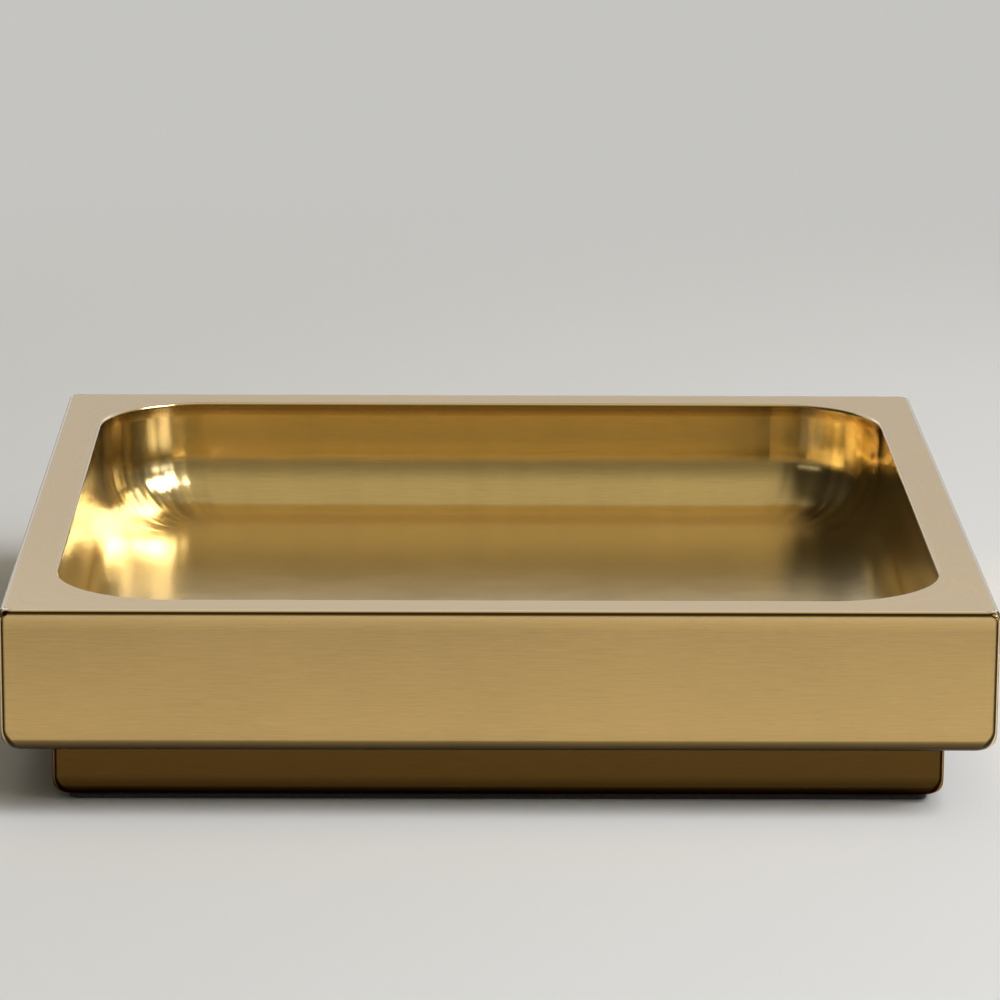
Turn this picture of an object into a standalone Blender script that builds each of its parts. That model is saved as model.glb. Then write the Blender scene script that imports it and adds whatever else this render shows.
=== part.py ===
"""Square brass tray: a satin casing round a polished dished well, on a recessed plinth.

Metres, +Z up. The origin is on the table under the middle of the tray, and the front faces -Y.
Everything goes together from below: the dish is soldered under the deck by its flange, the
soffit plate is soldered into the casing's foot, and the plinth ring and its base plate are
held up to the soffit plate by eight countersunk screws. A felt pad covers the base plate.
"""

import math

import bmesh
import bpy
from mathutils import Matrix, Vector

# Clearance between neighbours, how far a cutter runs past, and how near points are joined
JOINT_GAP = 0.0003
OVERRUN = 0.002
MERGE_DISTANCE = 0.00001

# Casing
TRAY_SIDE = 0.200
SIDE_WALL = 0.004
DECK_THICKNESS = 0.003
CASING_EDGE_RADIUS = 0.001
CASING_FOOT_RADIUS = 0.0024
CASING_INNER_CORNER_RADIUS = 0.004
RIM_LIP_RADIUS = 0.0012
SHOULDER_WIDTH = 0.0012

# Dish of the well
WELL_DEPTH = 0.025
WELL_CORNER_RADIUS = 0.024
WELL_FLOOR_CORNER_RADIUS = 0.014
WELL_SWEEP = 0.015
DISH_WALL_DROP = 0.0077
DISH_SHEET = 0.0015
FLANGE_REACH = 0.0035
FLANGE_CLEARANCE = 0.0005

# Soffit plate, which closes the casing round the plinth and carries the dish's floor
SOFFIT_THICKNESS = 0.0025

# Plinth ring
PLINTH_INSET = 0.0095
PLINTH_HEIGHT = 0.0118
PLINTH_RING_WIDTH = 0.018
PLINTH_WALL = 0.0065
PLINTH_EDGE_RADIUS = 0.001
PLINTH_FOOT_RADIUS = 0.0022
PLINTH_INNER_CORNER_RADIUS = 0.006

# Base plate
BASE_PLATE_THICKNESS = 0.0025
BASE_PLATE_CORNER_RADIUS = 0.005

# Felt pad
PAD_THICKNESS = 0.0012
PAD_MARGIN = 0.0008
PAD_CORNER_RADIUS = 0.002

# Countersunk socket screws
SCREW_RADIUS = 0.002
SCREW_HEAD_RADIUS = 0.004
SCREW_HEAD_EDGE = 0.0003
SCREW_TIP_CHAMFER = 0.0005
SCREW_TIP_SETBACK = 0.0004
SOCKET_RADIUS = 0.00145
SOCKET_DEPTH = 0.0013

# Facet counts, and the bevel profile of a true arc
ROUND_PROFILE_SHARE = 0.5
CORNER_STEPS = 9
SWEEP_STEPS = 12
LIP_STEPS = 4
EDGE_STEPS = 4
PLATE_CORNER_STEPS = 4
SCREW_STEPS = 20
SOCKET_SIDES = 6

# Sizes and levels that follow from the ones above
CASING_HALF = TRAY_SIDE / 2
HOLLOW_HALF = CASING_HALF - SIDE_WALL
FLANGE_HALF = HOLLOW_HALF - FLANGE_CLEARANCE
WELL_HALF = FLANGE_HALF - FLANGE_REACH - DISH_SHEET
FLANGE_WIDTH = FLANGE_HALF - WELL_HALF
CASING_HEIGHT = WELL_DEPTH + DISH_SHEET + JOINT_GAP + SOFFIT_THICKNESS
CASING_FOOT_LIMIT = SIDE_WALL - SHOULDER_WIDTH - JOINT_GAP
PLINTH_HALF = CASING_HALF - PLINTH_INSET
PLINTH_OPENING_HALF = PLINTH_HALF - PLINTH_RING_WIDTH
BASE_PLATE_HALF = PLINTH_HALF - PLINTH_WALL
SCREW_LINE = (PLINTH_OPENING_HALF + BASE_PLATE_HALF) / 2
PAD_HALF = PLINTH_HALF - PLINTH_FOOT_RADIUS - PAD_MARGIN

PLINTH_FOOT_LEVEL = PAD_THICKNESS + JOINT_GAP
CASING_FOOT_LEVEL = PLINTH_FOOT_LEVEL + PLINTH_HEIGHT + JOINT_GAP
RIM_LEVEL = CASING_FOOT_LEVEL + CASING_HEIGHT
SOFFIT_TOP_LEVEL = CASING_FOOT_LEVEL + SOFFIT_THICKNESS

# Finishes: colour, metallic, roughness
SATIN_BRASS = ("satin_brass", (0.60, 0.43, 0.20), 1.0, 0.34)
POLISHED_BRASS = ("polished_brass", (0.66, 0.45, 0.17), 1.0, 0.12)
BRASS_SHEET = ("brass_sheet", (0.55, 0.40, 0.20), 1.0, 0.45)
STEEL = ("steel", (0.50, 0.50, 0.49), 1.0, 0.35)
BLACK_FELT = ("black_felt", (0.015, 0.014, 0.013), 0.0, 0.95)


def make_material(finish):
    name, colour, metallic, roughness = finish
    material = bpy.data.materials.new(name)
    material.use_nodes = True
    shader = material.node_tree.nodes["Principled BSDF"]
    shader.inputs["Base Color"].default_value = (*colour, 1.0)
    shader.inputs["Metallic"].default_value = metallic
    shader.inputs["Roughness"].default_value = roughness
    material.diffuse_color = (*colour, 1.0)
    return material


def new_object(name, mesh, collection, material=None):
    obj = bpy.data.objects.new(name, mesh)
    collection.objects.link(obj)
    if material:
        mesh.materials.append(material)
    return obj


def mesh_from(bm, name):
    mesh = bpy.data.meshes.new(name)
    bm.to_mesh(mesh)
    bm.free()
    return mesh


def square_block(bm, half, low, high):
    """Add a square block to bm, from low to high."""
    size = Matrix.Diagonal((2 * half, 2 * half, high - low, 1))
    place = Matrix.Translation((0, 0, (low + high) / 2))
    bmesh.ops.create_cube(bm, size=1, matrix=place @ size)


def weighted_block(name, half, height, edge_radius, foot_radius, top_radius):
    """A square block on z = 0 whose edges carry bevel weights, as shares of the largest radius."""
    bm = bmesh.new()
    square_block(bm, half, 0, height)
    weight = bm.edges.layers.float.new("bevel_weight_edge")
    largest = max(edge_radius, foot_radius, top_radius)
    for edge in bm.edges:
        ends = [vert.co.z for vert in edge.verts]
        if max(ends) < height / 2:
            radius = foot_radius
        elif min(ends) > height / 2:
            radius = top_radius
        else:
            radius = edge_radius
        edge[weight] = radius / largest
    return mesh_from(bm, name), largest


def add_bevel(obj, width):
    bevel = obj.modifiers.new("rounded_edges", "BEVEL")
    bevel.limit_method = "WEIGHT"
    bevel.width = width
    bevel.segments = EDGE_STEPS


def flat_plate(name, half, low, high, corner_radius):
    """A square plate or plate-shaped cutter with rounded upright corners."""
    bm = bmesh.new()
    square_block(bm, half, low, high)
    uprights = [edge for edge in bm.edges if edge.verts[0].co.z != edge.verts[1].co.z]
    bmesh.ops.bevel(
        bm,
        geom=uprights,
        offset=corner_radius,
        segments=PLATE_CORNER_STEPS,
        profile=ROUND_PROFILE_SHARE,
        affect="EDGES",
    )
    return mesh_from(bm, name)


def rounded_square(half, corner_radius, level):
    """One ring of points, anticlockwise from above, with the same count at every size."""
    ring = []
    reach = half - corner_radius
    for quarter in range(4):
        middle = math.pi / 2 * (quarter + 0.5)
        centre_x = math.copysign(reach, math.cos(middle))
        centre_y = math.copysign(reach, math.sin(middle))
        for step in range(CORNER_STEPS + 1):
            angle = math.pi / 2 * (quarter + step / CORNER_STEPS)
            x = centre_x + corner_radius * math.cos(angle)
            y = centre_y + corner_radius * math.sin(angle)
            ring.append(Vector((x, y, level)))
    return ring


def loft(name, sections, close_start):
    """Faces between unlike rings, with the last ring filled, and the first too if it is asked."""
    bm = bmesh.new()
    rings = [[bm.verts.new(point) for point in section] for section in sections]
    for outer, inner in zip(rings, rings[1:]):
        count = len(outer)
        for index in range(count):
            after = (index + 1) % count
            bm.faces.new((outer[index], outer[after], inner[after], inner[index]))
    bm.faces.new(rings[-1])
    if close_start:
        bm.faces.new(reversed(rings[0]))
    return mesh_from(bm, name)


def turned(name, profile, collection, material=None):
    """A turned body from (radius, level) points that run down the outer side from the axis."""
    bm = bmesh.new()
    verts = [bm.verts.new((radius, 0, level)) for radius, level in profile]
    for upper, lower in zip(verts, verts[1:]):
        bm.edges.new((upper, lower))
    obj = new_object(name, mesh_from(bm, name), collection, material)
    screw = obj.modifiers.new("turn", "SCREW")
    screw.steps = SCREW_STEPS
    screw.render_steps = SCREW_STEPS
    screw.use_merge_vertices = True
    screw.merge_threshold = MERGE_DISTANCE
    return obj


def cut(obj, cutter):
    boolean = obj.modifiers.new("cut_" + cutter.name, "BOOLEAN")
    boolean.operation = "DIFFERENCE"
    boolean.solver = "EXACT"
    boolean.object = cutter


def cut_all(obj, cutters):
    boolean = obj.modifiers.new("cut_" + cutters.name, "BOOLEAN")
    boolean.operation = "DIFFERENCE"
    boolean.solver = "EXACT"
    boolean.operand_type = "COLLECTION"
    boolean.collection = cutters


def as_cutter(obj):
    obj.hide_render = True
    obj.display_type = "WIRE"
    return obj


def smooth(obj, angle_share):
    """Shade the facets of a curve as one, and keep edges sharper than a share of 90 degrees."""
    obj.data.shade_smooth()
    obj.data.set_sharp_from_angle(angle=math.pi / 2 * angle_share)


def well_opening_sections():
    """The hole in the deck: upright below, flaring over the lip's radius to the rim."""
    lip_foot = RIM_LEVEL - RIM_LIP_RADIUS
    deck_foot = RIM_LEVEL - DECK_THICKNESS - OVERRUN
    sections = [rounded_square(WELL_HALF, WELL_CORNER_RADIUS, deck_foot)]
    for step in range(LIP_STEPS + 1):
        turn = math.pi / 2 * step / LIP_STEPS
        flare = RIM_LIP_RADIUS * (1 - math.cos(turn))
        level = lip_foot + RIM_LIP_RADIUS * math.sin(turn)
        sections.append(rounded_square(WELL_HALF + flare, WELL_CORNER_RADIUS + flare, level))
    flare = RIM_LIP_RADIUS
    above = RIM_LEVEL + OVERRUN
    sections.append(rounded_square(WELL_HALF + flare, WELL_CORNER_RADIUS + flare, above))
    return sections


def dish_sections():
    """Flange edge, top of the wall, then a quarter ellipse down and in to the floor."""
    dish_top = RIM_LEVEL - DECK_THICKNESS - JOINT_GAP
    floor_level = RIM_LEVEL - WELL_DEPTH
    sweep_top = dish_top - DISH_WALL_DROP
    flange_corner = WELL_CORNER_RADIUS + FLANGE_WIDTH
    sections = [
        rounded_square(FLANGE_HALF, flange_corner, dish_top),
        rounded_square(WELL_HALF, WELL_CORNER_RADIUS, dish_top),
    ]
    for step in range(SWEEP_STEPS + 1):
        turn = math.pi / 2 * step / SWEEP_STEPS
        travel_share = 1 - math.cos(turn)
        half = WELL_HALF - WELL_SWEEP * travel_share
        corner_change = WELL_FLOOR_CORNER_RADIUS - WELL_CORNER_RADIUS
        corner = WELL_CORNER_RADIUS + corner_change * travel_share
        level = sweep_top - (sweep_top - floor_level) * math.sin(turn)
        sections.append(rounded_square(half, corner, level))
    return sections


def screw_places():
    """Four corners and four mid-sides, as (x, y)."""
    across = (-SCREW_LINE, 0, SCREW_LINE)
    return [(x, y) for x in across for y in across if x or y]


def make_casing(collection, cutters, material):
    """Rim and four sides in one piece, open below, with a shoulder for the soffit plate."""
    mesh, width = weighted_block(
        "casing",
        CASING_HALF,
        CASING_HEIGHT,
        CASING_EDGE_RADIUS,
        min(CASING_FOOT_RADIUS, CASING_FOOT_LIMIT),
        CASING_EDGE_RADIUS,
    )
    casing = new_object("casing", mesh, collection, material)
    casing.location.z = CASING_FOOT_LEVEL
    add_bevel(casing, width)

    hollow_mesh = flat_plate(
        "casing_hollow",
        HOLLOW_HALF,
        CASING_FOOT_LEVEL - OVERRUN,
        RIM_LEVEL - DECK_THICKNESS,
        CASING_INNER_CORNER_RADIUS,
    )
    shoulder_mesh = flat_plate(
        "casing_shoulder",
        HOLLOW_HALF + SHOULDER_WIDTH,
        CASING_FOOT_LEVEL - OVERRUN,
        SOFFIT_TOP_LEVEL + JOINT_GAP,
        CASING_INNER_CORNER_RADIUS,
    )
    opening_mesh = loft("well_opening", well_opening_sections(), close_start=True)
    for cutter_mesh in (hollow_mesh, shoulder_mesh, opening_mesh):
        cut(casing, as_cutter(new_object(cutter_mesh.name, cutter_mesh, cutters)))
    smooth(casing, angle_share=0.4)
    return casing


def make_dish(collection, material):
    """The pressed well: flange, wall and floor in one sheet."""
    dish = new_object("well_dish", loft("well_dish", dish_sections(), False), collection, material)
    sheet = dish.modifiers.new("sheet", "SOLIDIFY")
    sheet.thickness = DISH_SHEET
    sheet.offset = -1
    sheet.use_even_offset = True
    smooth(dish, angle_share=0.5)
    return dish


def make_soffit(collection, opening, holes, material):
    """Flat frame soldered into the casing's foot, tapped for the plinth's screws."""
    half = HOLLOW_HALF + SHOULDER_WIDTH - JOINT_GAP
    corner = CASING_INNER_CORNER_RADIUS - JOINT_GAP
    mesh = flat_plate("soffit_plate", half, CASING_FOOT_LEVEL, SOFFIT_TOP_LEVEL, corner)
    soffit = new_object("soffit_plate", mesh, collection, material)
    cut(soffit, opening)
    cut_all(soffit, holes)
    return soffit


def make_plinth(collection, cutters, opening, holes, material):
    """The recessed foot of the tray, with a rebate below for the base plate."""
    mesh, width = weighted_block(
        "plinth_ring", PLINTH_HALF, PLINTH_HEIGHT, PLINTH_EDGE_RADIUS, PLINTH_FOOT_RADIUS, 0
    )
    plinth = new_object("plinth_ring", mesh, collection, material)
    plinth.location.z = PLINTH_FOOT_LEVEL
    add_bevel(plinth, width)
    rebate_mesh = flat_plate(
        "plinth_rebate",
        BASE_PLATE_HALF + JOINT_GAP,
        PLINTH_FOOT_LEVEL - OVERRUN,
        PLINTH_FOOT_LEVEL + BASE_PLATE_THICKNESS + JOINT_GAP,
        BASE_PLATE_CORNER_RADIUS + JOINT_GAP,
    )
    cut(plinth, opening)
    cut(plinth, as_cutter(new_object("plinth_rebate", rebate_mesh, cutters)))
    cut_all(plinth, holes)
    smooth(plinth, angle_share=0.4)
    return plinth


def make_base_plate(collection, holes, material):
    mesh = flat_plate(
        "base_plate",
        BASE_PLATE_HALF,
        PLINTH_FOOT_LEVEL,
        PLINTH_FOOT_LEVEL + BASE_PLATE_THICKNESS,
        BASE_PLATE_CORNER_RADIUS,
    )
    plate = new_object("base_plate", mesh, collection, material)
    cut_all(plate, holes)
    return plate


def make_pad(collection, material):
    mesh = flat_plate("felt_pad", PAD_HALF, 0, PAD_THICKNESS, PAD_CORNER_RADIUS)
    return new_object("felt_pad", mesh, collection, material)


def screw_profile():
    """Tip at the top, countersunk head at the bottom, level with the base plate's underside."""
    tip = SOFFIT_TOP_LEVEL - SCREW_TIP_SETBACK
    shank_foot = PLINTH_FOOT_LEVEL + SCREW_HEAD_EDGE + SCREW_HEAD_RADIUS - SCREW_RADIUS
    return [
        (0, tip),
        (SCREW_RADIUS - SCREW_TIP_CHAMFER, tip),
        (SCREW_RADIUS, tip - SCREW_TIP_CHAMFER),
        (SCREW_RADIUS, shank_foot),
        (SCREW_HEAD_RADIUS, PLINTH_FOOT_LEVEL + SCREW_HEAD_EDGE),
        (SCREW_HEAD_RADIUS, PLINTH_FOOT_LEVEL),
        (0, PLINTH_FOOT_LEVEL),
    ]


def hole_profile():
    """The same outline one joint gap wider, run out past both ends."""
    top = SOFFIT_TOP_LEVEL + OVERRUN
    bottom = PLINTH_FOOT_LEVEL - OVERRUN
    hole_radius = SCREW_RADIUS + JOINT_GAP
    head_radius = SCREW_HEAD_RADIUS + JOINT_GAP
    head_edge = PLINTH_FOOT_LEVEL + SCREW_HEAD_EDGE
    return [
        (0, top),
        (hole_radius, top),
        (hole_radius, head_edge + head_radius - hole_radius),
        (head_radius, head_edge),
        (head_radius, bottom),
        (0, bottom),
    ]


def make_screws(collection, cutters, material):
    """Eight identical screws, each with a hexagonal socket in its head."""
    bm = bmesh.new()
    bmesh.ops.create_cone(
        bm,
        cap_ends=True,
        segments=SOCKET_SIDES,
        radius1=SOCKET_RADIUS,
        radius2=SOCKET_RADIUS,
        depth=SOCKET_DEPTH + OVERRUN,
        matrix=Matrix.Translation((0, 0, PLINTH_FOOT_LEVEL + (SOCKET_DEPTH - OVERRUN) / 2)),
    )
    socket_mesh = mesh_from(bm, "screw_socket")
    for number, (x, y) in enumerate(screw_places(), start=1):
        screw = turned(f"base_screw_{number}", screw_profile(), collection, material)
        socket = as_cutter(new_object(f"screw_socket_{number}", socket_mesh, cutters))
        screw.location.xy = (x, y)
        socket.location.xy = (x, y)
        cut(screw, socket)
        smooth(screw, angle_share=0.4)


def make_hole_cutters(cutters):
    holes = bpy.data.collections.new("screw_holes")
    cutters.children.link(holes)
    for number, (x, y) in enumerate(screw_places(), start=1):
        hole = as_cutter(turned(f"screw_hole_{number}", hole_profile(), holes))
        hole.location.xy = (x, y)
    return holes


def main():
    for obj in list(bpy.data.objects):
        bpy.data.objects.remove(obj)
    tray = bpy.data.collections.new("square_tray")
    cutters = bpy.data.collections.new("square_tray_cutters")
    bpy.context.scene.collection.children.link(tray)
    bpy.context.scene.collection.children.link(cutters)

    satin = make_material(SATIN_BRASS)
    polished = make_material(POLISHED_BRASS)
    sheet = make_material(BRASS_SHEET)
    steel = make_material(STEEL)
    felt = make_material(BLACK_FELT)

    opening_mesh = flat_plate(
        "plinth_opening",
        PLINTH_OPENING_HALF,
        PLINTH_FOOT_LEVEL - OVERRUN,
        SOFFIT_TOP_LEVEL + OVERRUN,
        PLINTH_INNER_CORNER_RADIUS,
    )
    opening = as_cutter(new_object("plinth_opening", opening_mesh, cutters))
    holes = make_hole_cutters(cutters)

    make_casing(tray, cutters, satin)
    make_dish(tray, polished)
    make_soffit(tray, opening, holes, sheet)
    make_plinth(tray, cutters, opening, holes, satin)
    make_base_plate(tray, holes, sheet)
    make_screws(tray, cutters, steel)
    make_pad(tray, felt)

    anchor = bpy.data.objects.new("square_tray", None)
    tray.objects.link(anchor)
    for obj in tray.objects:
        if obj is not anchor:
            obj.parent = anchor


main()
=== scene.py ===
"""Looks for the square brass tray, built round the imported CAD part.

The casing, the dish, the plinth and the felt pad are rebuilt here as finely stepped closed
meshes in the same places. The plates and screws that close the tray from below stay CAD nodes
and get a finish of their own. Everything is in metres, in the part's own frame.
"""

import math
from collections import namedtuple

import bpy
import numpy as np
from mathutils import Matrix, Vector


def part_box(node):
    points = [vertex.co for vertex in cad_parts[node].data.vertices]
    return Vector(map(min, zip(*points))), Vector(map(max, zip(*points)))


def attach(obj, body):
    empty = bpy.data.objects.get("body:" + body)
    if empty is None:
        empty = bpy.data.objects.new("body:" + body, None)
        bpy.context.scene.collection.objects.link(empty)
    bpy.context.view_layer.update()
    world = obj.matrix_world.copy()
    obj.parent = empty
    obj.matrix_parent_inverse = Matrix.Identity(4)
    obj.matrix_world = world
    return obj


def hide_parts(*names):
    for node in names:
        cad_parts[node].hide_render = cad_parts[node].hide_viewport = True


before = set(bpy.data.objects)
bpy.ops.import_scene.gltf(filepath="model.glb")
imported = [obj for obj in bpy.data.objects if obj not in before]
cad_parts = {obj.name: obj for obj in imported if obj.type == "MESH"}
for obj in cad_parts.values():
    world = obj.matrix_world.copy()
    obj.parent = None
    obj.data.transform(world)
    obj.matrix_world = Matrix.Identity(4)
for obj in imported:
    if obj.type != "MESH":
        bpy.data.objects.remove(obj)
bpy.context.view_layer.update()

# Steps round a quarter turn of a corner, along a side, over a small edge and down the sweep
CORNER_STEPS = 32
SIDE_STEPS = 12
EDGE_STEPS = 10
SWEEP_STEPS = 48

# Parts into which each step of the sweep is cut while its bend is added up
FINER_STEPS = 8

# Every ring is made of four equal quarters
QUARTERS = 4

# Degrees between two faces from which the edge between them is shaded sharp
SHARP_ANGLE = 30

# How near a bend a flat face has its last ring or point, so that its shading stays flat
SUPPORT = 0.00025

# Casing
CASING_EDGE_RADIUS = 0.001
CASING_TOP_RADIUS = 0.001
CASING_FOOT_RADIUS = 0.0024
CASING_TOP_CORNER_ZONE = 0.0022
CASING_FOOT_CORNER_ZONE = 0.0049
CASING_TOP_CORNER_EXTRA = 0.0008
CASING_FOOT_CORNER_EXTRA = 0.0015
CASING_INNER_CORNER = 0.004
SIDE_WALL = 0.004
SHOULDER_WIDTH = 0.0012
DECK_THICKNESS = 0.003
LIP_RADIUS = 0.0007
# Height of the band of painted shade just under the lip
UNDER_LIP_SHADE = 0.0009

# Gap between the casing's deck and the dish, which shows as a fine seam under the lip
SEAM = 0.00003

# Dish of the well
FLANGE_WIDTH = 0.005
DISH_SHEET = 0.0015
WELL_DEPTH = 0.025
WELL_CORNER = 0.024
WELL_FLOOR_CORNER = 0.014
WELL_SWEEP = 0.0155
WELL_WALL_DROP = 0.0075

# Shares of the sweep over which its bend grows and fades
EASE_IN = 0.35
EASE_OUT = 0.3

# Plinth ring
PLINTH_EDGE_RADIUS = 0.001
PLINTH_FOOT_RADIUS = 0.0022
PLINTH_FOOT_CORNER_ZONE = 0.0044
PLINTH_FOOT_CORNER_EXTRA = 0.0012
PLINTH_RING_WIDTH = 0.018
PLINTH_OPENING_CORNER = 0.006
REBATE_CORNER = 0.0053
JOINT_GAP = 0.0003

# Felt pad
PAD_CORNER = 0.002
PAD_EDGE_RADIUS = 0.0004
PAD_FUZZ = 0.00006
FUZZ_SEED = 7

# Roughness of each finish, carried by the rings
SATIN = 0.34
EDGE_POLISH = 0.12
WELL_POLISH = 0.17
WELL_FLOOR_POLISH = 0.2
SAWN = 0.45

# Tone painted into the metal's colour: 0 is dark, painted shade and painted reflection of a dark
# room, 1 is plain and 2 is bright, partly wear and partly painted highlight. The darkest tone
# keeps this share of the colour
DARK = 0.0
PLAIN = 1.0
WORN_HIGHLIGHT = 2.0
DARKEST_SHARE = 0.06

# Tones over an edge, from its end to the face. Low tones on the top edge and lip are painted
# reflection of a dark room, on the foot painted shade; high tones are partly wear and partly
# painted highlight
TOP_EDGE_TONES = (1.0, 1.7, 2.0, 1.9, 1.2, 0.1, 0.0, 0.0, 0.2, 0.6, 0.9)
FOOT_EDGE_TONES = (0.0, 0.0, 0.0, 0.0, 0.0, 0.02, 0.05, 0.1, 0.15, 0.2, 0.45)
LIP_TONES = (0.3, 0.5, 0.8, 1.2, 1.7, 2.0, 1.8, 1.4, 1.1, 1.0, 1.0)
# Painted shade in the band just under the lip
UNDER_LIP_TONE = 0.45
# Below the top edge the face has a painted highlight line, then a band of painted shade, and it is
# a little darker near the foot, also painted shade
FACE_TOP_TONE = 1.2
FACE_SHADE_TONE = 0.82
FACE_SHADE_DROP = 0.004
FACE_FOOT_TONE = 0.95
# The plinth's face gets darker towards its foot: painted shade
PLINTH_FACE_TONES = (0.4, 0.8)

# Tones round an upright edge, from one face to the other, at even shares of the turn: painted
# reflection of a dark room on both sides of a bright line, partly wear and partly painted
# highlight
UPRIGHT_TONES = (0.6, 0.0, 0.0, 0.0, 1.7, 1.7, 0.0, 0.0, 0.0, 0.6)

# Metal colours
BRASS = (0.70, 0.458, 0.155)
WELL_BRASS = (0.79, 0.588, 0.235)
# The plinth's brass and its edge tint are darkened: painted shade
SHADED_PLINTH_BRASS = (0.16, 0.085, 0.02)
SHADED_PLINTH_EDGE_TINT = (0.55, 0.38, 0.16)
# Colour of the bright edge lines: partly wear, partly painted highlight
WORN_HIGHLIGHT_BRASS = (0.95, 0.83, 0.58)
SHEET_BRASS = (0.60, 0.43, 0.20)
STEEL = (0.50, 0.50, 0.49)
FELT_BLACK = (0.015, 0.014, 0.013)
FELT_GREY = (0.040, 0.037, 0.034)

# Length and width of the streaks and ripples, and size of the clouds, waves and felt's grain
STREAK_LENGTH = 0.009
STREAK_WIDTH = 0.0003
FINE_STREAK_LENGTH = 0.0025
FINE_STREAK_WIDTH = 0.00011
RIPPLE_LENGTH = 0.06
RIPPLE_WIDTH = 0.005
CLOUD_SIZE = 0.018
WAVE_SIZE = 0.025
FIBRE_SIZE = 0.0006
TUFT_SIZE = 0.004

# Detail, roughness and distortion of each noise that differs from the plain one
STREAK_NOISE = (3.0, 0.6)
CLOUD_NOISE = (3.0, 0.55)
WAVE_NOISE = (2.0, 0.45, 0.6)
RIPPLE_NOISE = (1.0, 0.5)
SHEET_NOISE = (3.0, 0.6)
FIBRE_NOISE = (6.0, 0.75, 1.5)
TUFT_NOISE = (3.0, 0.6)

# Shares in which two noises are added
STREAK_SHARE = 0.6
FINE_STREAK_SHARE = 0.4
GRAIN_SHARE = 0.75
CLOUD_SHARE = 0.25
SHEET_SHARE = 0.5
TUFT_SHARE = 0.5

# Noise turned into a factor: lowest and highest noise, and the factor at each
GRAIN_TO_ROUGHNESS = (0.25, 0.75, 0.90, 1.12)
CLOUD_TO_ROUGHNESS = (0.3, 0.7, 0.94, 1.07)
GRAIN_TO_SHADE = (0.35, 0.65, 0.0, 1.0)
RIPPLE_TO_TARNISH = (0.4, 0.6, 0.55, 0.1)
FIBRE_TO_SHADE = (0.4, 0.7, 0.0, 1.0)
SHEET_SPAN = (0.3, 0.7)
SHEET_ROUGHNESS_SPREAD = (0.85, 1.15)

# Colour factors at the dark and light end of the grain
BRUSHED_SHADES = (0.89, 1.10)
SHEET_SHADES = (0.88, 1.08)

# Ripples: their strength on a straight side, and the last share of the sweep's way in, over
# which they fade out
SIDE_RIPPLE = 0.05
RIPPLE_END = 0.4

# Hidden metal: roughness, grains to the metre along x, y and z, and the depth of the grain
SHEET_ROUGHNESS = 0.40
SHEET_GRAIN = (150, 2500, 2500)
STEEL_ROUGHNESS = 0.33
STEEL_GRAIN = (4000, 4000, 9000)
SHEET_RELIEF = 0.00001

# Felt
FELT_ROUGHNESS = 0.95
FELT_SHEEN = 0.35
FELT_SHEEN_ROUGHNESS = 0.6
FELT_RELIEF = 0.0002

# Photograph's camera, solved from the tray's edges
CAMERA_PLACE = (-0.01351, -1.04778, 0.29740)
CAMERA_YAW = 0.804
CAMERA_PITCH = 13.728
CAMERA_ROLL = 0.345
CAMERA_LENS = 177.25
SENSOR = 36.0

# Light of the room. Its strength changes with the height and with the x of the direction, each
# over a span between two levels
WORLD_COLOUR = (1.0, 0.905, 0.68)
WORLD_RISE = (0.1, 0.8)
WORLD_LEVELS = (0.23, 0.50)
WORLD_SIDE = (-0.5, -0.1)
WORLD_SIDE_LEVELS = (0.15, 1.0)

# Floor, the low wall far round it, and the haze into which all paper fades between two
# distances from the tray
FLOOR_COLOUR = (0.79, 0.79, 0.795)
PAPER_ROUGHNESS = 0.9
PAPER_GLOSS = 0.2
FLOOR_REACH = 5.0
HORIZON_HEIGHT = 0.45
HORIZON_SIDES = 64
HAZE_COLOUR = (0.56, 0.555, 0.53)
HAZE_START = 0.28
HAZE_END = 0.65

# Backdrop, far behind the tray
BACKDROP_HALF_WIDTH = 3.2
BACKDROP_DISTANCE = 1.8
BACKDROP_HEIGHT = 2.6
BACKDROP_SWEEP = 0.5
BACKDROP_STEPS = 24

# Plain white, and the light of the window
WHITE = (1.0, 1.0, 1.0)
DAYLIGHT = (0.92, 0.95, 1.0)

Ring = namedtuple(
    "Ring", "half corner level finish bend_finish tone ripple", defaults=(None, PLAIN, 0.0)
)
Brass = namedtuple(
    "Brass", "name colour worn edge_tint streaks waves ripples lacquer blur bare_lines"
)
Lamp = namedtuple("Lamp", "name place width height power colour")

# Four panes of a window to the right, and two weak lamps
LAMPS = (
    Lamp("window_far", (1.158, -0.163, 1.121), 0.24, 0.70, 6.91, DAYLIGHT),
    Lamp("window_middle", (1.102, -0.445, 1.100), 0.32, 0.74, 8.50, DAYLIGHT),
    Lamp("window_near", (0.994, -0.805, 0.993), 0.32, 0.86, 6.25, DAYLIGHT),
    Lamp("window_low", (1.272, -0.891, 0.417), 0.67, 0.26, 1.31, DAYLIGHT),
    Lamp("low_left", (-0.653, -0.726, 0.246), 0.44, 0.07, 0.08, WHITE),
    Lamp("back_high", (0.045, 0.867, 0.416), 1.00, 0.20, 0.25, WHITE),
)
LAMP_TARGET = (0.0, 0.0, 0.03)

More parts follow.
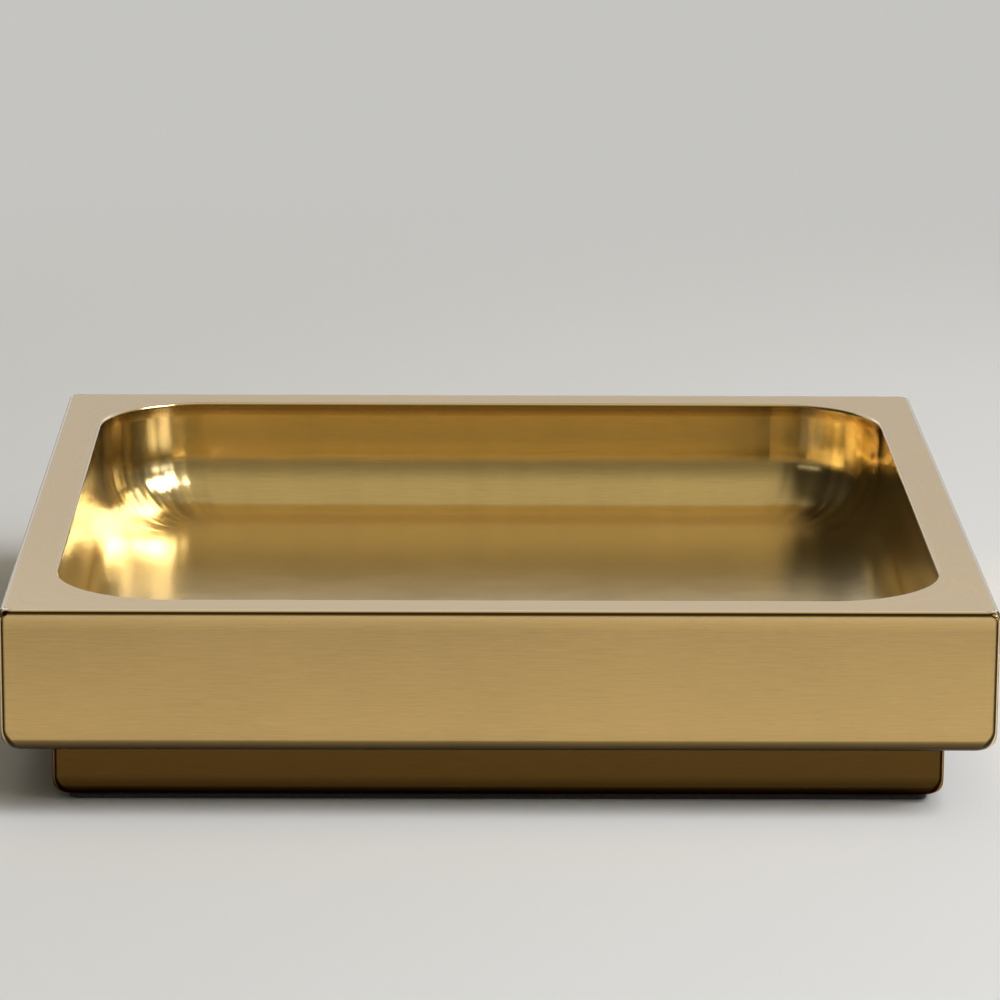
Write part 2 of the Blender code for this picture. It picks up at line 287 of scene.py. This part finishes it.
# Each brass: its colours, the depths of its relief in metres, how much lacquer it has and how
# blurred that is, and whether the lines painted dark, as shade and reflection, have none
BRASSES = {
    "casing": Brass(
        name="satin_brass",
        colour=BRASS,
        worn=WORN_HIGHLIGHT_BRASS,
        edge_tint=WHITE,
        streaks=6e-6,
        waves=2e-5,
        ripples=0.0,
        lacquer=1.0,
        blur=0.15,
        bare_lines=True,
    ),
    "well": Brass(
        name="polished_brass",
        colour=WELL_BRASS,
        worn=WORN_HIGHLIGHT_BRASS,
        edge_tint=WHITE,
        streaks=3e-6,
        waves=1.2e-4,
        ripples=6e-4,
        lacquer=1.0,
        blur=0.15,
        bare_lines=False,
    ),
    # The plinth's dark colours are painted shade
    "plinth": Brass(
        name="aged_brass",
        colour=SHADED_PLINTH_BRASS,
        worn=BRASS,
        edge_tint=SHADED_PLINTH_EDGE_TINT,
        streaks=8e-6,
        waves=2e-5,
        ripples=0.0,
        lacquer=0.0,
        blur=0.3,
        bare_lines=False,
    ),
}


def place_of(node):
    """Half width, lowest and highest level of a CAD node."""
    low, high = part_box(node)
    return high.x, low.z, high.z


def rounded_square(half, corner, level):
    """The points of one ring, anticlockwise from above, the same count at every size."""
    reach = half - corner
    turns = np.linspace(0, math.pi / 2, CORNER_STEPS + 1)
    arc = np.stack((reach + corner * np.cos(turns), reach + corner * np.sin(turns)), axis=1)
    side_x = np.linspace(reach - SUPPORT, SUPPORT - reach, SIDE_STEPS)
    side = np.stack((side_x, np.full(SIDE_STEPS, half)), axis=1)
    quarter_ring = np.concatenate((arc, side))
    quarter_turn = np.array(((0, 1), (-1, 0)))
    points = [quarter_ring @ np.linalg.matrix_power(quarter_turn, n) for n in range(QUARTERS)]
    flat = np.concatenate(points)
    return np.column_stack((flat, np.full(len(flat), level)))


def point_finish(ring):
    """Roughness at each point of a ring: the bends may be polished more than the sides."""
    bend = ring.finish if ring.bend_finish is None else ring.bend_finish
    return np.array(([bend] * (CORNER_STEPS + 1) + [ring.finish] * SIDE_STEPS) * QUARTERS)


def point_tone(ring):
    """Tone at each point of a ring: upright edges have painted dark reflection on both sides of a
    bright line, partly wear and partly painted highlight.
    """
    shares = np.linspace(0, 1, CORNER_STEPS + 1)
    even = np.linspace(0, 1, len(UPRIGHT_TONES))
    bend = np.interp(shares, even, UPRIGHT_TONES)
    if ring.bend_finish is None:
        bend[:] = PLAIN
    worn = np.clip(bend - PLAIN, 0, None)
    dark = np.clip(PLAIN - bend, 0, None)
    ring_worn_highlight = max(ring.tone - PLAIN, 0)
    ring_dark = max(PLAIN - ring.tone, 0)
    worn = np.maximum(worn, ring_worn_highlight)
    dark = np.maximum(dark, ring_dark) * (1 - worn)
    corner = (PLAIN - dark + worn).tolist()
    return np.array((corner + [ring.tone] * SIDE_STEPS) * QUARTERS)


def point_ripple(ring):
    """Ripples from hand polishing: fewer on the sides, most in the middle of a bend."""
    turns = np.linspace(0, math.pi, CORNER_STEPS + 1)
    shares = SIDE_RIPPLE + (1 - SIDE_RIPPLE) * np.sin(turns)
    return ring.ripple * np.array((shares.tolist() + [SIDE_RIPPLE] * SIDE_STEPS) * QUARTERS)


def skin(name, rings, around, closed):
    """A closed mesh over the rings: end joined to start, or capped at both ends.

    Finish, tone and ripple lie on the points. The grain lies on the face corners, in metres: x
    runs round the piece as far as on the ring called around, and y down its section.
    """
    sections = [rounded_square(ring.half, ring.corner, ring.level) for ring in rings]
    count = len(sections[0])
    reference = rounded_square(around.half, around.corner, 0)
    steps = np.linalg.norm(np.roll(reference, -1, axis=0) - reference, axis=1)
    along = np.concatenate(((0,), np.cumsum(steps)))
    profile = np.array([(ring.half, ring.level) for ring in rings])
    spans = np.linalg.norm(np.roll(profile, -1, axis=0) - profile, axis=1)
    down = np.concatenate(((0,), np.cumsum(spans)))

    faces = []
    grain = []
    for row in range(len(rings) if closed else len(rings) - 1):
        here = row * count
        there = (row + 1) % len(rings) * count
        for index in range(count):
            after = (index + 1) % count
            faces.append((here + index, here + after, there + after, there + index))
            low, high = down[row], down[row + 1]
            left, right = along[index], along[index + 1]
            grain += ((left, low, 0), (right, low, 0), (right, high, 0), (left, high, 0))
    if not closed:
        for row, order in ((0, -1), (len(rings) - 1, 1)):
            cap = list(range(row * count, row * count + count))[::order]
            faces.append(cap)
            grain += [tuple(sections[row][index % count]) for index in cap]

    mesh = bpy.data.meshes.new(name)
    mesh.from_pydata(np.concatenate(sections).tolist(), [], faces)
    for key, rule in (("finish", point_finish), ("tone", point_tone), ("ripple", point_ripple)):
        attribute = mesh.attributes.new(key, "FLOAT", "POINT")
        attribute.data.foreach_set("value", np.concatenate([rule(ring) for ring in rings]))
    grain_map = mesh.attributes.new("grain", "FLOAT_VECTOR", "CORNER")
    grain_map.data.foreach_set("vector", np.array(grain, np.float32).ravel())
    mesh.shade_smooth()
    mesh.set_sharp_from_angle(angle=math.radians(SHARP_ANGLE))
    obj = bpy.data.objects.new(name, mesh)
    bpy.context.scene.collection.objects.link(obj)
    return obj


def quarter(steps):
    """Turns from 0 to 90 degrees."""
    return [math.pi / 2 * step / steps for step in range(steps + 1)]


def rounded_end(half, level, upward, edge, radius, zone, extra, edge_tones, face_tones):
    """Rings over a rounded foot or top edge and up the face, with the corner itself rounded.

    At the corner the section is a quarter ellipse as tall as the zone, so the upright edge's
    radius grows towards the end and the flat face gets a rounded corner.
    """
    diagonal = math.sqrt(2)
    reach = diagonal * radius + (diagonal - 1) * extra
    places = [(radius * (1 - math.cos(turn)), turn) for turn in quarter(EDGE_STEPS)]
    flat_start = radius + SUPPORT
    places += [(height, None) for height in np.linspace(flat_start, zone, EDGE_STEPS)]
    tones = list(edge_tones) + np.linspace(face_tones[0], face_tones[1], EDGE_STEPS).tolist()
    rings = []
    for (height, turn), tone in zip(places, tones):
        inset = 0.0 if turn is None else radius * (1 - math.sin(turn))
        rest = 1 - height / zone
        pull = reach * (1 - math.sqrt(1 - rest**2))
        corner = edge + (pull - diagonal * inset) / (diagonal - 1)
        finish = SATIN if turn is None else EDGE_POLISH
        place = level + upward * height
        rings.append(Ring(half - inset, corner, place, finish, EDGE_POLISH, tone))
    return rings if upward > 0 else rings[::-1]


def casing_rings():
    """From the foot up the outside, over the rim and lip, and down the hollow inside."""
    half, foot, rim = place_of("casing")
    dish_half = place_of("well_dish")[0]
    soffit_top = place_of("soffit_plate")[2]
    well_half = dish_half - FLANGE_WIDTH
    hollow = half - SIDE_WALL
    shoulder = hollow + SHOULDER_WIDTH
    # The foot's inner ring is painted dark: painted shade
    rings = [Ring(shoulder, CASING_INNER_CORNER, foot, SATIN, None, DARK)]
    rings += rounded_end(
        half,
        foot,
        1,
        CASING_EDGE_RADIUS,
        CASING_FOOT_RADIUS,
        CASING_FOOT_CORNER_ZONE,
        CASING_FOOT_CORNER_EXTRA,
        FOOT_EDGE_TONES,
        (FACE_FOOT_TONE, PLAIN),
    )
    # A band of painted shade across the face, below the top edge
    shade_level = rim - FACE_SHADE_DROP
    rings.append(
        Ring(half, CASING_EDGE_RADIUS, shade_level, SATIN, EDGE_POLISH, FACE_SHADE_TONE)
    )
    rings += rounded_end(
        half,
        rim,
        -1,
        CASING_EDGE_RADIUS,
        CASING_TOP_RADIUS,
        CASING_TOP_CORNER_ZONE,
        CASING_TOP_CORNER_EXTRA,
        TOP_EDGE_TONES,
        (FACE_TOP_TONE, PLAIN),
    )
    edge = rings[-1]
    lip_half = well_half + LIP_RADIUS
    lip_corner = WELL_CORNER + LIP_RADIUS
    rings.append(Ring(edge.half - SUPPORT, edge.corner, rim, SATIN))
    rings.append(Ring(lip_half + SUPPORT, lip_corner + SUPPORT, rim, SATIN))
    for turn, tone in zip(reversed(quarter(EDGE_STEPS)), reversed(LIP_TONES)):
        flare = LIP_RADIUS * (1 - math.cos(turn))
        level = rim - LIP_RADIUS * (1 - math.sin(turn))
        rings.append(
            Ring(well_half + flare, WELL_CORNER + flare, level, EDGE_POLISH, None, tone)
        )
    deck_foot = rim - DECK_THICKNESS
    lip_foot = rim - LIP_RADIUS
    # Painted shade under the lip
    for level in (lip_foot - SUPPORT, lip_foot - UNDER_LIP_SHADE):
        rings.append(Ring(well_half, WELL_CORNER, level, WELL_POLISH, None, UNDER_LIP_TONE))
    rings += [
        Ring(well_half, WELL_CORNER, deck_foot, WELL_POLISH),
        Ring(hollow, CASING_INNER_CORNER, deck_foot, SAWN),
        Ring(hollow, CASING_INNER_CORNER, soffit_top + JOINT_GAP, SAWN),
        Ring(shoulder, CASING_INNER_CORNER, soffit_top + JOINT_GAP, SAWN),
    ]
    return rings


def eased_sweep(steps):
    """Share of the way in, share of the way down and slope, from upright to level.

    The bend eases in and out, so that the reflections show no line where the sweep starts.
    """
    share = np.linspace(0, 1, steps * FINER_STEPS + 1)
    bend = np.minimum(np.minimum(share / EASE_IN, (1 - share) / EASE_OUT), 1)
    slope = running_sum(bend)
    slope *= math.pi / 2 / slope[-1]
    inward = running_sum(np.sin(slope))
    down = running_sum(np.cos(slope))
    rows = zip(inward / inward[-1], down / down[-1], slope)
    return list(rows)[::FINER_STEPS]


def running_sum(values):
    """Area under the values so far, in steps of one."""
    return np.concatenate(((0,), np.cumsum((values[1:] + values[:-1]) / 2)))


def dish_rings():
    """Underside first, then the outside up to the flange, and the inside down to the floor."""
    dish_half, underside, _ = place_of("well_dish")
    rim = place_of("casing")[2]
    well_half = dish_half - FLANGE_WIDTH
    top = rim - DECK_THICKNESS - SEAM
    floor = rim - WELL_DEPTH
    sweep_top = rim - WELL_WALL_DROP
    sweep_drop = sweep_top - floor
    inner = [Ring(well_half, WELL_CORNER, top, WELL_POLISH, None, PLAIN, 1.0)]
    outer = [Ring(well_half + DISH_SHEET, WELL_CORNER + DISH_SHEET, top - DISH_SHEET, SAWN)]
    for travel, fall, slope in eased_sweep(SWEEP_STEPS):
        half = well_half - WELL_SWEEP * travel
        corner = WELL_CORNER + (WELL_FLOOR_CORNER - WELL_CORNER) * travel
        level = sweep_top - sweep_drop * fall
        polish = WELL_POLISH + (WELL_FLOOR_POLISH - WELL_POLISH) * travel
        ripple = min(1.0, (1 - travel) / RIPPLE_END)
        inner.append(Ring(half, corner, level, polish, None, PLAIN, ripple))
        away = Vector((sweep_drop * math.cos(slope), -WELL_SWEEP * math.sin(slope))).normalized()
        out = DISH_SHEET * away.x
        below = DISH_SHEET * away.y
        outer.append(Ring(half + out, corner + out, level + below, SAWN))
    last = inner[-1]
    inner.append(Ring(last.half - SUPPORT, last.corner, floor, WELL_FLOOR_POLISH))
    flange_corner = WELL_CORNER + FLANGE_WIDTH
    flange = [
        Ring(dish_half, flange_corner, top - DISH_SHEET, SAWN),
        Ring(dish_half, flange_corner, top, SAWN),
    ]
    return outer[::-1] + flange + inner


def plinth_rings():
    """From the foot up the outside, and down the opening to the base plate's rebate."""
    half, foot, top = place_of("plinth_ring")
    rebate_half = place_of("base_plate")[0] + JOINT_GAP
    rebate_top = place_of("base_plate")[2] + JOINT_GAP
    opening = half - PLINTH_RING_WIDTH
    rings = [Ring(rebate_half, REBATE_CORNER, foot, SAWN)]
    rings += rounded_end(
        half,
        foot,
        1,
        PLINTH_EDGE_RADIUS,
        PLINTH_FOOT_RADIUS,
        PLINTH_FOOT_CORNER_ZONE,
        PLINTH_FOOT_CORNER_EXTRA,
        FOOT_EDGE_TONES,
        PLINTH_FACE_TONES,
    )
    rings += [
        Ring(half, PLINTH_EDGE_RADIUS, top, SATIN, EDGE_POLISH, PLINTH_FACE_TONES[1]),
        Ring(opening, PLINTH_OPENING_CORNER, top, SAWN),
        Ring(opening, PLINTH_OPENING_CORNER, rebate_top, SAWN),
        Ring(rebate_half, REBATE_CORNER, rebate_top, SAWN),
    ]
    return rings


def pad_rings():
    """The felt's edge, rounded at both faces."""
    half, bottom, top = place_of("felt_pad")
    rings = []
    for turn in quarter(EDGE_STEPS):
        inset = PAD_EDGE_RADIUS * (1 - math.sin(turn))
        level = bottom + PAD_EDGE_RADIUS * (1 - math.cos(turn))
        rings.append(Ring(half - inset, PAD_CORNER - inset, level, 1.0))
    for turn in quarter(EDGE_STEPS):
        inset = PAD_EDGE_RADIUS * (1 - math.cos(turn))
        level = top - PAD_EDGE_RADIUS * (1 - math.sin(turn))
        rings.append(Ring(half - inset, PAD_CORNER - inset, level, 1.0))
    return rings


class Nodes:
    """A material's node tree, with short calls for the nodes used here."""

    def __init__(self, name):
        self.material = bpy.data.materials.new(name)
        self.material.use_nodes = True
        self.tree = self.material.node_tree
        self.shader = self.tree.nodes["Principled BSDF"]

    def add(self, kind, inputs=None, **settings):
        """A new node with these settings, its inputs set or linked."""
        node = self.tree.nodes.new("ShaderNode" + kind)
        for key, value in settings.items():
            setattr(node, key, value)
        for key, value in (inputs or {}).items():
            self.put(node.inputs[key], value)
        return node

    def put(self, socket, value):
        """Link another node's output to the socket, or set the socket's own value."""
        if isinstance(value, bpy.types.NodeSocket):
            self.tree.links.new(value, socket)
        else:
            socket.default_value = value

    def shade(self, **inputs):
        """Inputs of the Principled shader, with an underscore for each space in a name."""
        for key, value in inputs.items():
            self.put(self.shader.inputs[key.replace("_", " ")], value)

    def attribute(self, name, output):
        return self.add("Attribute", attribute_name=name).outputs[output]

    def stretched(self, vector, scale):
        mapping = self.add("Mapping", {"Vector": vector, "Scale": scale})
        return mapping.outputs["Vector"]

    def noise(self, vector, scale, detail=2.0, roughness=0.5, distortion=0.0):
        inputs = {
            "Vector": vector,
            "Scale": scale,
            "Detail": detail,
            "Roughness": roughness,
            "Distortion": distortion,
        }
        return self.add("TexNoise", inputs).outputs["Fac"]

    def math(self, operation, first, second=0.0):
        node = self.add("Math", operation=operation)
        self.put(node.inputs[0], first)
        self.put(node.inputs[1], second)
        return node.outputs["Value"]

    def ranged(self, value, low, high, to_low, to_high):
        """The value carried from one range to another, and held at its ends."""
        inputs = {
            "Value": value,
            "From Min": low,
            "From Max": high,
            "To Min": to_low,
            "To Max": to_high,
        }
        return self.add("MapRange", inputs).outputs["Result"]

    def summed(self, first, first_share, second, second_share):
        """Two values added in these shares."""
        first = self.math("MULTIPLY", first, first_share)
        second = self.math("MULTIPLY", second, second_share)
        return self.math("ADD", first, second)

    def mixed(self, share, first, second):
        """A colour on the way from the first to the second."""
        node = self.add("Mix", data_type="RGBA")
        self.put(node.inputs["Factor"], share)
        for key, colour in (("A", first), ("B", second)):
            plain_colour = isinstance(colour, tuple)
            self.put(node.inputs[key], (*colour, 1.0) if plain_colour else colour)
        return node.outputs["Result"]

    def bump(self, height, depth, normal=None):
        """The normal of a relief this deep, laid over an earlier normal if there is one."""
        node = self.add("Bump", {"Height": height, "Strength": 1.0, "Distance": depth})
        if normal:
            self.put(node.inputs["Normal"], normal)
        return node.outputs["Normal"]


def tinted(colour, factor):
    """The colour made lighter or darker, no lighter than white."""
    return tuple(min(1.0, part * factor) for part in colour)


def brushed_brass(brass):
    """Brass with a fine grain round the piece, a little cloudiness, soft waves and ripples."""
    nodes = Nodes(brass.name)
    grain = nodes.attribute("grain", "Vector")
    finish = nodes.attribute("finish", "Fac")
    place = nodes.add("TexCoord").outputs["Object"]
    streak_grain = nodes.stretched(grain, (1 / STREAK_LENGTH, 1 / STREAK_WIDTH, 1.0))
    fine_grain = nodes.stretched(grain, (1 / FINE_STREAK_LENGTH, 1 / FINE_STREAK_WIDTH, 1.0))
    ripple_grain = nodes.stretched(grain, (1 / RIPPLE_WIDTH, 1 / RIPPLE_LENGTH, 1.0))
    streaks = nodes.noise(streak_grain, 1.0, *STREAK_NOISE)
    fine = nodes.noise(fine_grain, 1.0)
    clouds = nodes.noise(place, 1 / CLOUD_SIZE, *CLOUD_NOISE)
    waves = nodes.noise(place, 1 / WAVE_SIZE, *WAVE_NOISE)
    ripples = nodes.noise(ripple_grain, 1.0, *RIPPLE_NOISE)

    both = nodes.summed(streaks, STREAK_SHARE, fine, FINE_STREAK_SHARE)
    rough = nodes.math("MULTIPLY", finish, nodes.ranged(both, *GRAIN_TO_ROUGHNESS))
    rough = nodes.math("MULTIPLY", rough, nodes.ranged(clouds, *CLOUD_TO_ROUGHNESS))
    uneven = nodes.summed(both, GRAIN_SHARE, clouds, CLOUD_SHARE)
    ends = [tinted(brass.colour, factor) for factor in BRUSHED_SHADES]
    shade = nodes.mixed(nodes.ranged(uneven, *GRAIN_TO_SHADE), *ends)
    # The tone darkens the colour as painted shade and painted reflection, and brightens it as wear
    # and painted highlight
    edge_tone = nodes.attribute("tone", "Fac")
    dimmer = nodes.add("VectorMath", operation="SCALE")
    nodes.put(dimmer.inputs["Vector"], shade)
    share = nodes.ranged(edge_tone, DARK, PLAIN, DARKEST_SHARE, 1.0)
    if brass.ripples:
        bent = nodes.attribute("ripple", "Fac")
        tarnish = nodes.math("MULTIPLY", nodes.ranged(ripples, *RIPPLE_TO_TARNISH), bent)
        share = nodes.math("MULTIPLY", share, nodes.math("SUBTRACT", 1.0, tarnish))
    nodes.put(dimmer.inputs["Scale"], share)
    worn_highlight_share = nodes.ranged(edge_tone, PLAIN, WORN_HIGHLIGHT, 0.0, 1.0)
    shade = nodes.mixed(worn_highlight_share, dimmer.outputs["Vector"], brass.worn)
    normal = nodes.bump(both, brass.streaks)
    normal = nodes.bump(waves, brass.waves, normal)
    if brass.ripples:
        height = nodes.math("MULTIPLY", ripples, bent)
        normal = nodes.bump(height, brass.ripples, normal)
    nodes.shade(Base_Color=shade, Metallic=1.0, Roughness=rough, Normal=normal)
    nodes.shade(Specular_Tint=(*brass.edge_tint, 1.0))
    # Where bare_lines is set, the lacquer thins to none on the lines painted dark, so that they
    # stay dark
    lacquer = brass.lacquer
    if brass.bare_lines:
        lacquer = nodes.ranged(edge_tone, DARK, PLAIN, 0.0, brass.lacquer)
    nodes.shade(Coat_Weight=lacquer, Coat_Roughness=brass.blur)
    return nodes.material


def rolled_metal(name, colour, roughness, stretch):
    """Plain sheet or turned metal: grain in the part's own axes."""
    nodes = Nodes(name)
    place = nodes.add("TexCoord").outputs["Object"]
    grain = nodes.noise(nodes.stretched(place, stretch), 1.0, *SHEET_NOISE)
    clouds = nodes.noise(place, 1 / CLOUD_SIZE)
    tone = nodes.math("MULTIPLY", nodes.math("ADD", grain, clouds), SHEET_SHARE)
    shade = nodes.mixed(tone, *[tinted(colour, factor) for factor in SHEET_SHADES])
    ends = [roughness * factor for factor in SHEET_ROUGHNESS_SPREAD]
    rough = nodes.ranged(grain, *SHEET_SPAN, *ends)
    normal = nodes.bump(grain, SHEET_RELIEF)
    nodes.shade(Base_Color=shade, Metallic=1.0, Roughness=rough, Normal=normal)
    return nodes.material


def black_felt(name):
    """Matted fibres with a soft sheen."""
    nodes = Nodes(name)
    place = nodes.add("TexCoord").outputs["Object"]
    fibres = nodes.noise(place, 1 / FIBRE_SIZE, *FIBRE_NOISE)
    tufts = nodes.noise(place, 1 / TUFT_SIZE, *TUFT_NOISE)
    shade = nodes.mixed(nodes.ranged(fibres, *FIBRE_TO_SHADE), FELT_BLACK, FELT_GREY)
    height = nodes.math("ADD", fibres, nodes.math("MULTIPLY", tufts, TUFT_SHARE))
    nodes.shade(
        Base_Color=shade,
        Metallic=0.0,
        Roughness=FELT_ROUGHNESS,
        Sheen_Weight=FELT_SHEEN,
        Sheen_Roughness=FELT_SHEEN_ROUGHNESS,
        Normal=nodes.bump(height, FELT_RELIEF),
    )
    return nodes.material


def pale_paper(name, colour, haze):
    """Matt paper that fades into an even pale haze further out, for camera and reflections."""
    nodes = Nodes(name)
    nodes.shade(
        Base_Color=(*colour, 1.0), Roughness=PAPER_ROUGHNESS, Specular_IOR_Level=PAPER_GLOSS
    )
    path = nodes.add("LightPath").outputs
    seen = nodes.math("MAXIMUM", path["Is Camera Ray"], path["Is Glossy Ray"])
    seen = nodes.math("MAXIMUM", seen, path["Is Transmission Ray"])
    place = nodes.add("TexCoord").outputs["Object"]
    far = nodes.add("VectorMath", {0: place}, operation="LENGTH").outputs["Value"]
    fade = nodes.add(
        "MapRange",
        {"Value": far, "From Min": HAZE_START, "From Max": HAZE_END},
        interpolation_type="SMOOTHSTEP",
    ).outputs["Result"]
    glow = nodes.add("Emission", {"Color": (*haze, 1.0), "Strength": 1.0}).outputs["Emission"]
    share = nodes.math("MULTIPLY", seen, fade)
    blend = nodes.add("MixShader", {"Fac": share})
    nodes.put(blend.inputs[1], nodes.shader.outputs["BSDF"])
    nodes.put(blend.inputs[2], glow)
    surface = nodes.tree.nodes["Material Output"].inputs["Surface"]
    nodes.put(surface, blend.outputs["Shader"])
    return nodes.material


def dress(obj, node, material):
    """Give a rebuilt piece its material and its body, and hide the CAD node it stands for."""
    obj.data.materials.append(material)
    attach(obj, "root")
    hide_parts(node)
    return obj


def fuzz(obj, depth):
    """Small uneven pushes that make the felt's cut edge ragged, the same on each run."""
    random = np.random.default_rng(FUZZ_SEED)
    count = len(obj.data.vertices)
    places = np.zeros((count, 3), np.float32)
    obj.data.vertices.foreach_get("co", places.ravel())
    inward = -np.sign(places[:, :2]) * np.abs(random.normal(0, depth, (count, 2)))
    places[:, :2] += inward
    obj.data.vertices.foreach_set("co", places.ravel())
    obj.data.update()


def make_pieces():
    """The four rebuilt pieces, each in place of its CAD node."""
    half = place_of("casing")[0]
    well_half = place_of("well_dish")[0] - FLANGE_WIDTH
    plinth_half = place_of("plinth_ring")[0]
    pad_half = place_of("felt_pad")[0]
    satin, polished, shaded_plinth = (
        brushed_brass(BRASSES[piece]) for piece in ("casing", "well", "plinth")
    )

    around = Ring(half, CASING_EDGE_RADIUS, 0, 0)
    casing = skin("casing_skin", casing_rings(), around, closed=True)
    dress(casing, "casing", satin)
    around = Ring(well_half, WELL_CORNER, 0, 0)
    dish = skin("well_dish_skin", dish_rings(), around, closed=False)
    dress(dish, "well_dish", polished)
    around = Ring(plinth_half, PLINTH_EDGE_RADIUS, 0, 0)
    plinth = skin("plinth_skin", plinth_rings(), around, closed=True)
    dress(plinth, "plinth_ring", shaded_plinth)
    around = Ring(pad_half, PAD_CORNER, 0, 0)
    pad = skin("felt_pad_cloth", pad_rings(), around, closed=False)
    fuzz(pad, PAD_FUZZ)
    dress(pad, "felt_pad", black_felt("black_felt"))


def dress_cad_nodes():
    """The plates and screws keep their CAD shapes and get a rolled or turned finish."""
    sheet = rolled_metal("brass_sheet", SHEET_BRASS, SHEET_ROUGHNESS, SHEET_GRAIN)
    steel = rolled_metal("screw_steel", STEEL, STEEL_ROUGHNESS, STEEL_GRAIN)
    finishes = {"soffit_plate": sheet, "base_plate": sheet}
    for name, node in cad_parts.items():
        material = steel if name.startswith("base_screw") else finishes.get(name)
        if material:
            node.data.materials.clear()
            node.data.materials.append(material)


def staged(name, points, faces, material):
    """A mesh of the set, which isn't part of the tray."""
    mesh = bpy.data.meshes.new(name)
    mesh.from_pydata(points, [], faces)
    mesh.shade_smooth()
    mesh.materials.append(material)
    obj = bpy.data.objects.new(name, mesh)
    bpy.context.scene.collection.objects.link(obj)
    return obj


def make_set():
    """A pale floor with a distant haze round it, and a backdrop that curves up behind."""
    paper = pale_paper("pale_paper", FLOOR_COLOUR, HAZE_COLOUR)
    reach = FLOOR_REACH
    corners = [(-reach, -reach, 0), (reach, -reach, 0), (reach, reach, 0), (-reach, reach, 0)]
    staged("floor", corners, [(0, 1, 2, 3)], paper)

    bend_y = BACKDROP_DISTANCE - BACKDROP_SWEEP
    outline = [
        (bend_y + BACKDROP_SWEEP * math.sin(turn), BACKDROP_SWEEP * (1 - math.cos(turn)))
        for turn in quarter(BACKDROP_STEPS)
    ]
    outline.append((BACKDROP_DISTANCE, BACKDROP_HEIGHT))
    sides = (-BACKDROP_HALF_WIDTH, BACKDROP_HALF_WIDTH)
    points = [(x, y, z) for y, z in outline for x in sides]
    faces = [(i, i + 1, i + 3, i + 2) for i in range(0, len(points) - 2, 2)]
    staged("backdrop", points, faces, paper)

    turns = np.linspace(0, 2 * math.pi, HORIZON_SIDES, endpoint=False)
    points = [
        (reach * math.cos(turn), reach * math.sin(turn), level)
        for turn in turns
        for level in (0, HORIZON_HEIGHT)
    ]
    count = len(points)
    faces = [(i, i + 1, (i + 3) % count, (i + 2) % count) for i in range(0, count, 2)]
    horizon = staged("distance", points, faces, paper)
    horizon.visible_shadow = False
    horizon.visible_diffuse = False


def make_lamp(lamp):
    """An area lamp that faces the tray."""
    light = bpy.data.lights.new(lamp.name, "AREA")
    light.shape = "RECTANGLE"
    light.size = lamp.width
    light.size_y = lamp.height
    light.energy = lamp.power
    light.color = lamp.colour
    obj = bpy.data.objects.new(lamp.name, light)
    bpy.context.scene.collection.objects.link(obj)
    aim = Vector(LAMP_TARGET) - Vector(lamp.place)
    obj.location = lamp.place
    obj.rotation_euler = aim.to_track_quat("-Z", "Y").to_euler()
    obj.visible_camera = False


def make_world():
    """A soft room: lighter overhead, darker towards the left."""
    world = bpy.data.worlds.new("studio")
    world.use_nodes = True
    tree = world.node_tree
    place = tree.nodes.new("ShaderNodeTexCoord")
    parts = tree.nodes.new("ShaderNodeSeparateXYZ")
    tree.links.new(place.outputs["Generated"], parts.inputs["Vector"])
    rise = ramp(tree, parts.outputs["Z"], WORLD_RISE, WORLD_LEVELS)
    side = ramp(tree, parts.outputs["X"], WORLD_SIDE, WORLD_SIDE_LEVELS)
    strength = tree.nodes.new("ShaderNodeMath")
    strength.operation = "MULTIPLY"
    tree.links.new(rise, strength.inputs[0])
    tree.links.new(side, strength.inputs[1])
    background = tree.nodes["Background"]
    background.inputs["Color"].default_value = (*WORLD_COLOUR, 1.0)
    tree.links.new(strength.outputs["Value"], background.inputs["Strength"])
    bpy.context.scene.world = world


def ramp(tree, value, span, levels):
    """A smooth step from the first level to the second over the span of the value."""
    node = tree.nodes.new("ShaderNodeMapRange")
    node.interpolation_type = "SMOOTHSTEP"
    for key, number in zip(("From Min", "From Max", "To Min", "To Max"), span + levels):
        node.inputs[key].default_value = number
    tree.links.new(value, node.inputs["Value"])
    return node.outputs["Result"]


def make_camera():
    """Turned by yaw from +Y to the right, then down by pitch, then rolled about its own axis."""
    yaw = math.radians(CAMERA_YAW)
    pitch = math.radians(CAMERA_PITCH)
    roll = Matrix.Rotation(math.radians(CAMERA_ROLL), 4, "Z")
    ahead = Vector((math.sin(yaw), math.cos(yaw), 0)) * math.cos(pitch)
    ahead.z = -math.sin(pitch)
    right = Vector((math.cos(yaw), -math.sin(yaw), 0))
    up = right.cross(ahead)
    camera = bpy.data.cameras.new("camera")
    camera.sensor_width = SENSOR
    camera.lens = CAMERA_LENS
    obj = bpy.data.objects.new("camera", camera)
    bpy.context.scene.collection.objects.link(obj)
    axes = Matrix((right, up, -ahead)).transposed().to_4x4()
    obj.matrix_world = Matrix.Translation(CAMERA_PLACE) @ axes @ roll
    bpy.context.scene.camera = obj


def main():
    make_pieces()
    dress_cad_nodes()
    make_set()
    for lamp in LAMPS:
        make_lamp(lamp)
    make_world()
    make_camera()
    bpy.context.scene.view_settings.view_transform = "Standard"


main()
